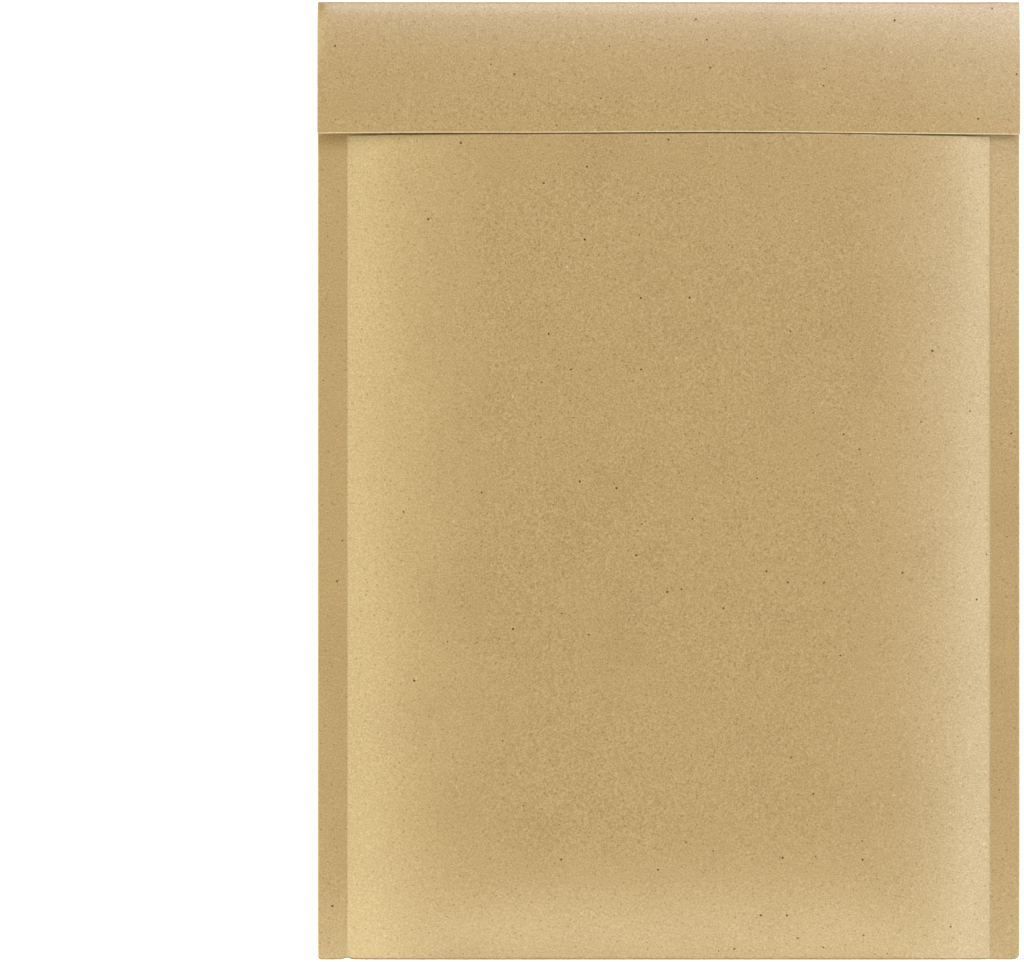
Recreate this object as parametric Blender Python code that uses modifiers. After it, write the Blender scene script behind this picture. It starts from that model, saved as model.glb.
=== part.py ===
"""Kraft bubble mailer, 8.5 x 12 inch class, empty, with its flap folded over but not stuck down.

It lies on its back, flap side up, as it comes to rest on a table. X runs across the mailer, Y from
the bottom fold to the flap's crease, Z up. The origin is in the middle of the rectangle that it
covers, at table height. Lengths are in metres.

One sheet of kraft paper makes the envelope: front, bottom fold, back, crease and flap. Its two sides
are glued flat into seams. Inside lies one sheet of bubble film, folded round the bottom with its
bubbles facing each other, and under the flap are the adhesive and its release liner.
"""

import math

import bmesh
import bpy

# Outline of the closed mailer
MAILER_WIDTH = 0.236
MAILER_HEIGHT = 0.322
BODY_THICKNESS = 0.0087
CORNER_RADIUS = 0.0022

# Paper, glued side seams, which drop towards the bottom fold, and the clearance between pieces
PAPER = 0.0004
SEAM_WIDTH = 0.0098
SEAM_HEIGHT = 0.0029
SEAM_DROP = 0.0012
SEAM_DROP_REACH = 0.045
GLUE_WIDTH = 0.0012
CLEARANCE = 0.0003

# Soft shoulders: how far in from a seam, the fold or the mouth the padding is at its fullest
FRONT_SHOULDER = 0.054
BACK_SHOULDER = 0.036
FRONT_FOLD_TAPER = 0.050
FRONT_MOUTH_TAPER = 0.050
BACK_FOLD_TAPER = 0.040
BACK_MOUTH_TAPER = 0.050

# The steeper start of a shoulder, where the film is tucked tight: its reach and its share of the rise
TUCK_REACH = 0.014
TUCK_SHARE = 0.08

# Share of the full padding that is left at the bottom fold and at the mouth
FRONT_FOLD_SHARE = 0.30
FRONT_MOUTH_SHARE = 0.34
BACK_FOLD_SHARE = 0.80
BACK_MOUTH_SHARE = 0.40

# Bottom fold, with the small notch where the seam's pinched end meets the puffed fold
FOLD_RADIUS = 0.0018
NOTCH_DEPTH = 0.0005

# Flap, folded over from the back at the crease; the mouth of the pocket lies just below it
FLAP_DEPTH = 0.0438
FLAP_EDGE_LIFT = 0.0005
FLAP_RAMP = 0.008
CREASE_DROP = 0.0010
CREASE_RADIUS = 0.0020
MOUTH_DROP = 0.0045

# Adhesive under the flap and the release liner over it
ADHESIVE_WIDTH = 0.018
ADHESIVE_THICKNESS = 0.0002
ADHESIVE_SETBACK = 0.010
ADHESIVE_END_MARGIN = 0.009
LINER_THICKNESS = 0.0002
LINER_OVERLAP = 0.003

# Bubble film
FILM = 0.0003
BUBBLE_PITCH = 0.013
BUBBLE_HEIGHT = 0.0026
BUBBLE_GAP = 0.0004
BUBBLE_BORDER = 0.4 * BUBBLE_PITCH
LATTICE_MARGIN = BUBBLE_PITCH / 6
LINING_SETBACK = 0.003

# Facets. The lines across a shoulder crowd by EASE towards its start, where it curves most
EASE = 1.5
SHOULDER_STEPS = 6
TAPER_STEPS = 6
ARC_STEPS = 8
CORNER_STEPS = 2
LINING_COLUMNS = 10
STRIP_STEPS = 4
SEARCH_STEPS = 200

# Places that follow from the sizes
HALF_WIDTH = MAILER_WIDTH / 2
HALF_HEIGHT = MAILER_HEIGHT / 2
SEAM_X = HALF_WIDTH - SEAM_WIDTH
POCKET_X = SEAM_X - GLUE_WIDTH
FOLD_Y = -HALF_HEIGHT + FOLD_RADIUS
MOUTH_Y = HALF_HEIGHT - MOUTH_DROP
CREASE_Y = HALF_HEIGHT - CREASE_RADIUS
FLAP_EDGE_Y = HALF_HEIGHT - FLAP_DEPTH
ADHESIVE_LOW = FLAP_EDGE_Y + ADHESIVE_SETBACK
ADHESIVE_HIGH = ADHESIVE_LOW + ADHESIVE_WIDTH
LINER_LOW = ADHESIVE_LOW - LINER_OVERLAP
LINER_HIGH = ADHESIVE_HIGH + LINER_OVERLAP
STRIP_LIFT = 3 * CLEARANCE + ADHESIVE_THICKNESS + LINER_THICKNESS
LINING_DEPTH = PAPER + CLEARANCE
QUARTER_FOLD = FOLD_RADIUS * math.pi / 2

SHARP_ANGLE = math.radians(35)


def clamp(value):
    return min(1.0, max(0.0, value))


def swell(share):
    """A soft rise: steepest where the padding starts and level where it is fullest."""
    return 1 - (1 - clamp(share)) ** 2


def shoulder(inset, reach):
    """A rise that starts steeply in its tuck and then climbs slowly over its whole reach."""
    return (1 - TUCK_SHARE) * swell(inset / reach) + TUCK_SHARE * swell(inset / TUCK_REACH)


def smooth(share):
    """An even step from 0 to 1 that starts and ends level."""
    share = clamp(share)
    return share * share * (3 - 2 * share)


def fullness(y, fold_share, fold_taper, mouth_share, mouth_taper):
    """How much of the full padding is left at y, which falls towards the fold and the mouth."""
    at_fold = fold_share + (1 - fold_share) * swell((y - FOLD_Y) / fold_taper)
    at_mouth = mouth_share + (1 - mouth_share) * shoulder(MOUTH_Y - y, mouth_taper)
    return at_fold * at_mouth


def front_fullness(y):
    return fullness(y, FRONT_FOLD_SHARE, FRONT_FOLD_TAPER, FRONT_MOUTH_SHARE, FRONT_MOUTH_TAPER)


def back_fullness(y):
    return fullness(y, BACK_FOLD_SHARE, BACK_FOLD_TAPER, BACK_MOUTH_SHARE, BACK_MOUTH_TAPER)


def seam_middle(y):
    """Height of the glued face between a seam's two thicknesses of paper."""
    return SEAM_HEIGHT - SEAM_DROP * (1 - swell((y - FOLD_Y) / SEAM_DROP_REACH))


def front_height(x, y):
    """Height of the front's outer face: level on the seams, soft shoulders, flat in the middle."""
    full = front_fullness(y)
    inset = SEAM_X - abs(x)
    low = seam_middle(y) + PAPER
    return low + (BODY_THICKNESS - low) * full * shoulder(inset, FRONT_SHOULDER * full)


def back_height(x, y):
    """Height of the back's outer face, which lies on the table in the middle."""
    full = back_fullness(y)
    inset = SEAM_X - abs(x)
    high = seam_middle(y) - PAPER
    return high - high * full * shoulder(inset, BACK_SHOULDER * full)


def bottom_edge(x):
    """Y of the bottom outline: straight, notched beside each seam and rounded at the corners."""
    into_corner = clamp((abs(x) - (HALF_WIDTH - CORNER_RADIUS)) / CORNER_RADIUS)
    rounding = CORNER_RADIUS * (1 - math.sqrt(1 - into_corner**2))
    notch = NOTCH_DEPTH * (1 - clamp(abs(abs(x) - SEAM_X) / GLUE_WIDTH))
    return -HALF_HEIGHT + rounding + notch


def flap_underside(y):
    """Height of the flap's lower face. It spans level from side to side over the fullest part of the
    front, lifted by the adhesive and its liner, and beyond the mouth it drops to the crease."""
    lift = FLAP_EDGE_LIFT + (STRIP_LIFT - FLAP_EDGE_LIFT) * smooth((y - LINER_LOW) / FLAP_RAMP + 1)
    beyond = clamp((y - MOUTH_Y) / MOUTH_DROP)
    drop = CREASE_DROP * (2 * beyond + beyond**2) / 3
    return front_height(0, min(y, MOUTH_Y)) + lift - drop


def eased(length, steps):
    """Distances from 0 to length, closer together near 0, where a shoulder curves most."""
    return [length * (step / steps) ** EASE for step in range(steps + 1)]


def evenly(start, end, steps):
    return [start + (end - start) * step / steps for step in range(steps + 1)]


def across_stations():
    """X of the lengthwise sections, from the left edge to the right one."""
    inner = [POCKET_X - inset for inset in eased(FRONT_SHOULDER - GLUE_WIDTH, SHOULDER_STEPS)]
    corner = evenly(HALF_WIDTH - CORNER_RADIUS, HALF_WIDTH, CORNER_STEPS)
    right = sorted(inner + [SEAM_X, SEAM_X + GLUE_WIDTH] + corner)
    return [-x for x in reversed(right)] + [0.0] + right


def ply_stations():
    """Y of the crosswise lines on the front and back, from the bottom fold to the mouth."""
    low = [FOLD_Y + step for step in eased(FRONT_FOLD_TAPER, TAPER_STEPS)]
    high = [MOUTH_Y - step for step in eased(FRONT_MOUTH_TAPER, TAPER_STEPS)]
    return low + high[::-1]


def wrap(x, along, depth):
    """A point on the folded sheet, at a depth below its outer face. along is 0 at the bottom of the
    fold and grows by a length of paper, over zero up the front and under zero up the back."""
    if abs(along) > QUARTER_FOLD:
        y = FOLD_Y + abs(along) - QUARTER_FOLD
        if along > 0:
            return x, y, front_height(x, y) - depth
        return x, y, back_height(x, y) + depth
    front, back = front_height(x, FOLD_Y), back_height(x, FOLD_Y)
    turn = along / FOLD_RADIUS
    reach = FOLD_Y - bottom_edge(x) - depth
    half_height = (front - back) / 2 - depth
    return x, FOLD_Y - reach * math.cos(turn), (front + back) / 2 + half_height * math.sin(turn)


def sheet_points(x, depth):
    """One lengthwise section through the paper at a depth below its outer face: down the front from
    the mouth, round the bottom, up the back, round the crease and down to the flap's free edge."""
    plies = [QUARTER_FOLD + y - FOLD_Y for y in ply_stations()]
    fold = evenly(QUARTER_FOLD, -QUARTER_FOLD, ARC_STEPS)[1:-1]
    points = [wrap(x, along, depth) for along in plies[::-1] + fold + [-along for along in plies]]

    low, high = back_height(x, CREASE_Y), flap_underside(CREASE_Y) + PAPER
    for turn in evenly(-math.pi / 2, math.pi / 2, ARC_STEPS):
        y = CREASE_Y + (CREASE_RADIUS - depth) * math.cos(turn)
        points.append((x, y, (low + high) / 2 + ((high - low) / 2 - depth) * math.sin(turn)))
    for y in flap_stations()[1:]:
        points.append((x, y, flap_underside(y) + PAPER - depth))
    return points


def flap_stations():
    """Y of the crosswise lines on the flap, from the crease to its free edge."""
    to_strip = [CREASE_Y] + evenly(MOUTH_Y, LINER_HIGH, STRIP_STEPS)
    over_strip = evenly(LINER_HIGH, LINER_LOW, STRIP_STEPS)
    to_edge = evenly(LINER_LOW, FLAP_EDGE_Y, STRIP_STEPS)
    return to_strip + over_strip[1:] + to_edge[1:]


def skin(mesh, rows):
    """Quads between rows that hold the same number of vertices."""
    for row, following in zip(rows, rows[1:]):
        for a, b, c, d in zip(row, row[1:], following[1:], following):
            mesh.faces.new((a, b, c, d))


def zip_rows(mesh, first, second):
    """Triangles between two rows of unlike counts, always closing the shorter diagonal."""
    i = j = 0
    while i < len(first) - 1 or j < len(second) - 1:
        if j == len(second) - 1:
            step_first = True
        elif i == len(first) - 1:
            step_first = False
        else:
            ahead = (first[i + 1].co - second[j].co).length
            step_first = ahead < (second[j + 1].co - first[i].co).length
        if step_first:
            mesh.faces.new((first[i], first[i + 1], second[j]))
            i += 1
        else:
            mesh.faces.new((first[i], second[j + 1], second[j]))
            j += 1


def finished(name, mesh, colour, roughness):
    """The object of a bmesh, in the mailer's collection, with its material and soft shading."""
    bmesh.ops.recalc_face_normals(mesh, faces=mesh.faces[:])
    data = bpy.data.meshes.new(name)
    mesh.to_mesh(data)
    mesh.free()
    data.shade_smooth()
    data.set_sharp_from_angle(angle=SHARP_ANGLE)

    material = bpy.data.materials.new(name)
    material.use_nodes = True
    surface = material.node_tree.nodes["Principled BSDF"]
    surface.inputs["Base Color"].default_value = (*colour, 1)
    surface.inputs["Roughness"].default_value = roughness
    surface.inputs["Metallic"].default_value = 0
    data.materials.append(material)

    piece = bpy.data.objects.new(name, data)
    bpy.data.collections["bubble_mailer"].objects.link(piece)
    return piece


def make_envelope():
    """The folded paper: a loft of lengthwise sections. Between the seams a section is an open pocket,
    and in the seams its front and back are one glued thickness."""
    mesh = bmesh.new()
    stations = across_stations()
    outer = [[mesh.verts.new(point) for point in sheet_points(x, 0)] for x in stations]
    pockets = [i for i, x in enumerate(stations) if abs(x) < POCKET_X + GLUE_WIDTH / 2]
    mouth = 2 * len(ply_stations()) + ARC_STEPS - 2
    inner = []
    for i, x in enumerate(stations):
        start = 0 if i in pockets else mouth
        points = sheet_points(x, PAPER)[start:]
        inner.append([None] * start + [mesh.verts.new(point) for point in points])

    first, last = pockets[0], pockets[-1]
    skin(mesh, outer)
    skin(mesh, [row[mouth:] for row in inner])
    skin(mesh, [row[: mouth + 1] for row in inner[first : last + 1]])

    flap_edge = [[outer[i][-1], inner[i][-1]] for i in range(len(stations))]
    mouth_edge = [[outer[i][0], inner[i][0]] for i in pockets]
    skin(mesh, flap_edge)
    skin(mesh, mouth_edge)
    for rows in (range(first), range(last + 1, len(stations))):
        skin(mesh, [[outer[i][0], inner[i][mouth]] for i in rows])
    for i, beside in ((first, first - 1), (last, last + 1)):
        mesh.faces.new((outer[beside][0], outer[i][0], inner[i][0], inner[i][mouth], inner[beside][mouth]))

    half = mouth // 2
    for i in (0, len(stations) - 1):
        edge = outer[i]
        skin(mesh, [edge[mouth:], inner[i][mouth:]])
        mesh.faces.new((edge[0], edge[1], edge[mouth - 1], edge[mouth], inner[i][mouth]))
        skin(mesh, [edge[1:half], edge[mouth - 1 : mouth - half : -1]])
        mesh.faces.new((edge[half - 1], edge[half], edge[half + 1]))
    for i in (first, last):
        end = inner[i]
        skin(mesh, [end[:half], end[mouth : mouth - half : -1]])
        mesh.faces.new((end[half - 1], end[half], end[half + 1]))
    return finished("kraft_envelope", mesh, (0.49, 0.35, 0.16), 0.85)


def bubble_room(x, along):
    """Height that a bubble may have at this place, so that it stays clear of the one facing it."""
    y = FOLD_Y + abs(along) - QUARTER_FOLD
    half_pocket = (front_height(x, y) - back_height(x, y)) / 2 - LINING_DEPTH - FILM
    return max(0.0, min(BUBBLE_HEIGHT, half_pocket - BUBBLE_GAP / 2))


def lining_half_width():
    """The lining ends beside each seam, where the pocket first has room for both of its plies."""
    needed = 2 * (LINING_DEPTH + FILM) + BUBBLE_GAP
    ends = FOLD_Y, MOUTH_Y - LINING_SETBACK
    for x in evenly(POCKET_X, SEAM_X - FRONT_SHOULDER, SEARCH_STEPS):
        if all(front_height(x, y) - back_height(x, y) >= needed for y in ends):
            return x
    raise ValueError("the pocket is too thin for its lining")


def bubble_rows(half_width, side):
    """Rows of one ply's inner face, from the fold to the mouth. Points stand half a pitch apart in a
    triangular lattice, and every second one of every second row is the top of a bubble."""
    spacing = BUBBLE_PITCH / 2
    length = MOUTH_Y - LINING_SETBACK - FOLD_Y
    count = 2 * round(length / (spacing * math.sqrt(3)))
    for row in range(count + 1):
        along = side * (QUARTER_FOLD + length * row / count)
        shift = spacing / 2 if row % 2 else 0
        reach = int((half_width - LATTICE_MARGIN - shift) / spacing)
        points = [(-half_width, 0)]
        for column in range(-reach - (1 if row % 2 else 0), reach + 1):
            x = shift + spacing * column
            raised = row % 2 and (column - row // 2) % 2 == 0
            clear_of_edge = abs(x) < half_width - BUBBLE_BORDER
            points.append((x, bubble_room(x, along) if raised and clear_of_edge else 0))
        points.append((half_width, 0))
        yield along, points


def make_lining():
    """The bubble film: flat against the paper, with its bubbles facing each other in the pocket."""
    mesh = bmesh.new()
    half_width = lining_half_width()
    front = list(bubble_rows(half_width, 1))
    back = list(bubble_rows(half_width, -1))
    columns = [half_width * step for step in evenly(-1, 1, LINING_COLUMNS)]
    turns = evenly(-QUARTER_FOLD, QUARTER_FOLD, ARC_STEPS)[1:-1]
    fold = [(along, [(x, 0) for x in columns]) for along in turns]
    inside = []
    for along, points in back[::-1] + fold + front:
        depth = LINING_DEPTH + FILM
        inside.append([mesh.verts.new(wrap(x, along, depth + bubble)) for x, bubble in points])

    mouth = QUARTER_FOLD + MOUTH_Y - LINING_SETBACK - FOLD_Y
    plies = [QUARTER_FOLD + y - FOLD_Y for y in ply_stations()[:-1]] + [mouth]
    outside = []
    for along in [-along for along in plies[::-1]] + turns + plies:
        outside.append([mesh.verts.new(wrap(x, along, LINING_DEPTH)) for x in lining_columns(half_width)])

    skin(mesh, outside)
    for row, following in zip(inside, inside[1:]):
        zip_rows(mesh, row, following)
    for end in (0, -1):
        zip_rows(mesh, [row[end] for row in inside], [row[end] for row in outside])
        zip_rows(mesh, inside[end], outside[end])
    return finished("bubble_lining", mesh, (0.78, 0.80, 0.80), 0.25)


def lining_columns(half_width):
    """X of the lining's outer grid, at the paper's own stations so that their gap stays even."""
    inner = [x for x in across_stations() if abs(x) < half_width - CLEARANCE]
    return [-half_width] + inner + [half_width]


def make_strip(name, length, low, high, drop, thickness, colour, roughness):
    """A thin strip that follows the flap's underside, hung a drop below it."""
    mesh = bmesh.new()
    bmesh.ops.create_grid(mesh, x_segments=STRIP_STEPS, y_segments=STRIP_STEPS, size=0.5)
    for vertex in mesh.verts:
        y = (low + high) / 2 + (high - low) * vertex.co.y
        vertex.co = (vertex.co.x * length, y, flap_underside(y) - drop)
    strip = finished(name, mesh, colour, roughness)
    shell = strip.modifiers.new("thickness", "SOLIDIFY")
    shell.thickness = thickness
    shell.offset = -1
    return strip


def make_closure():
    """The adhesive under the flap, and the release liner that overlaps it on every side."""
    length = MAILER_WIDTH - 2 * ADHESIVE_END_MARGIN
    make_strip(
        "adhesive_strip",
        length,
        ADHESIVE_LOW,
        ADHESIVE_HIGH,
        CLEARANCE,
        ADHESIVE_THICKNESS,
        (0.75, 0.68, 0.45),
        0.35,
    )
    make_strip(
        "release_liner",
        length + 2 * LINER_OVERLAP,
        LINER_LOW,
        LINER_HIGH,
        2 * CLEARANCE + ADHESIVE_THICKNESS,
        LINER_THICKNESS,
        (0.86, 0.86, 0.83),
        0.40,
    )


def main():
    for item in list(bpy.data.objects):
        bpy.data.objects.remove(item)
    collection = bpy.data.collections.new("bubble_mailer")
    bpy.context.scene.collection.children.link(collection)
    make_envelope()
    make_lining()
    make_closure()


main()
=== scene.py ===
"""Looks of a closed kraft bubble mailer that lies on a pale studio floor, flap side up.

X runs across the mailer, Y from the bottom fold to the flap's crease, Z up. Lengths are in metres.
The envelope is one folded sheet of kraft paper, drawn as a fine loft of lengthwise sections, with the
soft shoulders that its padding gives it. The adhesive and its liner follow the flap's underside. The
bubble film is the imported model's own solid with a material of its own.
"""

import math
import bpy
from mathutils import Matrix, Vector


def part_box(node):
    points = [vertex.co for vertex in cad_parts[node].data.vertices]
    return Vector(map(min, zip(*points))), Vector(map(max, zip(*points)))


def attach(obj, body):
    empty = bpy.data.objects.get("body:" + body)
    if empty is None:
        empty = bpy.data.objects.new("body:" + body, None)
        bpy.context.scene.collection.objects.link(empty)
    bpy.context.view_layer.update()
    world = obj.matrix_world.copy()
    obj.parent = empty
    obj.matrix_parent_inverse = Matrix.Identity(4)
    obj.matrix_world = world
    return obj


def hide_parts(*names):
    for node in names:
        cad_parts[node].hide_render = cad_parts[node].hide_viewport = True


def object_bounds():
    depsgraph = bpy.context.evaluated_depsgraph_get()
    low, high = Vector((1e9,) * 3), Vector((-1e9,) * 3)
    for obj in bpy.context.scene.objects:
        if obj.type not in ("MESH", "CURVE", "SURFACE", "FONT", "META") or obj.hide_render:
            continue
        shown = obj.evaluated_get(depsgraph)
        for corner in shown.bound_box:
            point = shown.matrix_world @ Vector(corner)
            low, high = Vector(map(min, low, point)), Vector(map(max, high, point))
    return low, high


bl_info = {
    "name": "Kraft bubble mailer",
    "version": (1, 0, 0),
    "blender": (4, 5, 0),
    "location": "3D View > Sidebar > Mailer",
    "description": "Builds a padded kraft mailer, its bubble film and its studio",
    "category": "Object",
}

import bmesh
import bpy
import numpy as np
from bpy.props import FloatProperty, FloatVectorProperty, PointerProperty, StringProperty

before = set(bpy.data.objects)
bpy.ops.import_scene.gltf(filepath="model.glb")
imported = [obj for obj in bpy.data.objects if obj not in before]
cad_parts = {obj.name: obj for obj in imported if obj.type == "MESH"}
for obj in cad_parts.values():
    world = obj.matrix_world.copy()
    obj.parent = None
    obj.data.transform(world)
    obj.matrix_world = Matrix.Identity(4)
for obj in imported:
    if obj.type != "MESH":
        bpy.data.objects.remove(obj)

CAD_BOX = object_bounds()
HALF_WIDTH = (CAD_BOX[1].x - CAD_BOX[0].x) / 2
HALF_HEIGHT = (CAD_BOX[1].y - CAD_BOX[0].y) / 2
MM = 0.001

# Facets of the envelope. The steps round the bottom fold are odd in number, so that its ends close
# with quads. The rim is the width of the facets of the outer face beside a cut edge. They take the cut
# edge's pale colour as a painted highlight line along every edge
FOLD_STEPS = 17
CREASE_STEPS = 17
FLAP_STATIONS = 42
RIM = 0.3 * MM
SHARP_ANGLE = math.radians(32)

# Lengthwise sections from the middle to an edge: evenly spaced at first, then closer on the shoulder,
# at places in the ease and in the seam that are shares of their widths, and round the corner
MIDDLE_START = 2.2 * MM
MIDDLE_STEP = 4.2 * MM
SHOULDER_STATIONS = 20
SHOULDER_CURVE = 1.5
EASE_PLACES = np.array([0.35, 0.25, 0.16, 0.08, 0.04])
SEAM_PLACES = np.array([0, 0.12, 0.3, 0.6])
CORNER_STATIONS = 8
RIM_CLEARANCE = 1.5 * RIM

# Stations up a ply from the fold to the mouth: closer near the fold and in the groove
NEAR_FOLD = 45 * MM
NEAR_FOLD_STATIONS = 24
NEAR_FOLD_CURVE = 1.4
PLAIN_STEP = 3.3 * MM
GROOVE_ZONE = 1.2 * MM
GROOVE_STEP = 0.14 * MM
NEAR_MOUTH_STATIONS = 20

# Facets of the strips under the flap
STRIP_COLUMNS = 80
STRIP_ROWS = 9

# Corners of the bottom fold: the right one's height as a share of its width, its notch as a share of
# the left one's, and the distance over which their rise fades
RIGHT_CORNER_SQUASH = 0.65
RIGHT_NOTCH_SHARE = 0.3
RISE_FADE = 12 * MM

# Y where the right seam starts to tilt, and the distance over which its tilt grows
TILT_START = -20 * MM
TILT_REACH = 100 * MM

# Where the flap's left end bends
LEFT_DROOP_REACH = 45 * MM
ROLL_WIDTH = 2.8 * MM
ROLL_LENGTH = 26 * MM
ROLL_CURVE = 1.2

# Soft waves: how many add up, what their sum is divided by to be about 1 high, and the lengths of
# those in the front and along the flap's free edge
WAVES = 9
WAVES_HEIGHT = 2
FRONT_WAVES = {"seed": 11, "longest": 110 * MM, "shortest": 30 * MM}
FLAP_EDGE_WAVES = {"seed": 5, "longest": 200 * MM, "shortest": 70 * MM}

# Inputs and output of a Mix node that mixes colours
MIX_AMOUNT = 0
MIX_BASE = 6
MIX_OVER = 7
MIX_RESULT = 2

# A speck, in shares of its size: how far its outline wanders, its least reach, how much more the
# largest reaches, and where it has faded, in reaches
SPECK_WANDER = 1.2
SPECK_LEAST = 0.4
SPECK_GROWTH = 0.9
SPECK_END = 1.6

# Kraft paper: how much longer than wide its fibres are and the two headings that they lie along, how
# much further apart its pale flecks lie than its specks, and the roughness of bark
FIBRE_SLIMNESS = 7
FIBRES_ONE_WAY = math.radians(28)
FIBRES_OTHER_WAY = math.radians(-55)
FLECK_SPREAD = 1.3
BARK_ROUGHNESS = 0.95

# The width of a bubble, the drawn lines of the adhesive, and the clouds in the liner
BUBBLE_WIDTH = 12 * MM
LINE_LENGTH = 40 * MM
LINE_SLIMNESS = 40
CLOUD_WIDTH = 2.5 * MM

# The photograph: its width and the mailer in it, in pixels
PHOTO_WIDTH = 1024
MAILER_PIXELS = 701
MAILER_MIDDLE_X = 668.5
SENSOR_WIDTH = 0.036

# The floor: its width, and how far it lies under the mailer
FLOOR_WIDTH = 6
FLOOR_GAP = 0.2 * MM


def length(name, description, default):
    """A size that a user may change."""
    return FloatProperty(name=name, description=description, default=default, unit="LENGTH", precision=5)


def colour(name, description, default):
    """A colour that a user may change, as an sRGB hex value."""
    return StringProperty(name=name, description=description, default=default)


def share(name, description, default):
    """A share from 0 to 1 that a user may change."""
    return FloatProperty(
        name=name, description=description, default=default, min=0, max=1, subtype="FACTOR"
    )


def angle(name, description, degrees):
    """An angle that a user may change."""
    return FloatProperty(name=name, description=description, default=math.radians(degrees), subtype="ANGLE")


def power(name, description, watts):
    """A light's power that a user may change."""
    return FloatProperty(name=name, description=description, default=watts, min=0, unit="POWER")


def light_colour(name, description, default):
    """The linear colour of a light that a user may change."""
    return FloatVectorProperty(
        name=name, description=description, default=default, min=0, size=3, subtype="COLOR"
    )


class MAILER_PG_form(bpy.types.PropertyGroup):
    """Sizes of the padded envelope."""

    body: length("Body thickness", "Thickness at the fullest, relaxed", 8.6 * MM)
    paper: length("Paper", "Thickness of the kraft paper", 0.4 * MM)
    seam_width: length("Seam width", "Width of each glued side seam", 9.8 * MM)
    seam_height: length("Seam height", "Height of the seams above the table", 2.9 * MM)
    glue_width: length("Glue line", "Width of glue beside the pocket", 1.2 * MM)
    front_shoulder: length("Front shoulder", "Reach of the front's side shoulders", 57 * MM)
    back_shoulder: length("Back shoulder", "Reach of the back's side shoulders", 36 * MM)
    front_fold_taper: length("Front fold taper", "Reach of the front's shoulder at the fold", 44 * MM)
    front_mouth_taper: length("Front mouth taper", "Reach of the front's shoulder at the mouth", 50 * MM)
    back_fold_taper: length("Back fold taper", "Reach of the back's shoulder at the fold", 40 * MM)
    back_mouth_taper: length("Back mouth taper", "Reach of the back's shoulder at the mouth", 50 * MM)
    front_fold_share: share("Front at the fold", "Share of the padding left at the fold", 0.50)
    front_mouth_share: share("Front at the mouth", "Share of the padding left at the mouth", 0.40)
    back_fold_share: share("Back at the fold", "Share of the padding left at the fold", 0.80)
    back_mouth_share: share("Back at the mouth", "Share of the padding left at the mouth", 0.40)
    fold_radius: length("Fold radius", "Reach of the bottom fold's rounding", 0.8 * MM)
    crease_radius: length("Crease radius", "Radius of the flap's crease", 0.9 * MM)
    tuck_reach: length("Tuck reach", "Reach of the steeper start of a shoulder", 14 * MM)
    tuck_share: share("Tuck", "Share of a shoulder's rise that its steeper start takes", 0.06)
    mouth_drop: length("Mouth", "Distance of the mouth below the crease", 4.5 * MM)
    flap_share: share("Flap at the mouth", "Share of the flap's full height that it has at the mouth", 0.48)
    flap_taper: length("Flap taper", "Distance over which the flap rises from the mouth", 42 * MM)
    flap_tuck: share("Flap tuck", "Share of that rise that its steeper start takes", 0.12)
    flap_depth: length("Flap depth", "Depth of the folded flap", 44.25 * MM)
    flap_edge_lift: length("Flap edge lift", "Height of the flap's free edge over the front", 0.5 * MM)
    strip_lift: length("Strip lift", "Height of the flap where the strip lies under it", 1.3 * MM)
    crease_drop: length("Crease drop", "How far the flap drops from the mouth to its crease", 1.1 * MM)
    flap_ramp: length("Flap ramp", "Distance over which the flap rises to the strip", 8 * MM)
    left_ease: length("Left ease", "Width over which the padding starts beside the left seam", 0.5 * MM)
    right_ease: length("Right ease", "Width over which the padding starts beside the right seam", 0.8 * MM)
    seam_drop: length("Seam drop", "How much lower the seams are at the bottom fold", 1.5 * MM)
    seam_drop_reach: length("Seam drop reach", "Distance over which the seams drop", 42 * MM)
    seam_tilt: length("Seam tilt", "Droop of the right seam's upper half at its outer edge", 0.9 * MM)
    puff: length("Puff", "Rise of the padding just below the flap's free edge", 0.45 * MM)
    puff_reach: length("Puff reach", "Distance over which that rise fades", 22 * MM)
    groove_width: length("Groove width", "Width of the groove below the flap's free edge", 0.55 * MM)
    groove_depth: length("Groove depth", "How far the flap's edge presses the front in", 0.28 * MM)
    groove_reach: length("Groove reach", "Distance over which that dent fades under the flap", 6 * MM)
    left_corner: length("Left corner", "Radius of the bottom left corner", 1.1 * MM)
    right_corner: length("Right corner", "Radius of the bottom right corner", 2.6 * MM)
    notch: length("Notch", "Depth of the notch where a seam meets the bottom fold", 0.6 * MM)
    ripple: length("Ripple", "Height of the soft waves in the paper", 0.10 * MM)
    left_droop: length("Left droop", "How far the flap's free edge droops at its left end", 0.3 * MM)
    right_droop: length("Right droop", "How far the flap droops at its right end", 3.7 * MM)
    right_droop_reach: length("Right droop reach", "Width over which the flap droops at the right", 95 * MM)
    left_roll: length("Left roll", "How far the flap's left edge rolls down near the crease", 0.75 * MM)
    flap_bow: length("Flap bow", "How much lower the flap's free edge is at its ends", 0.25 * MM)
    flap_wave: length("Flap wave", "Sideways wander of the flap's cut edge", 0.25 * MM)


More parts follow.
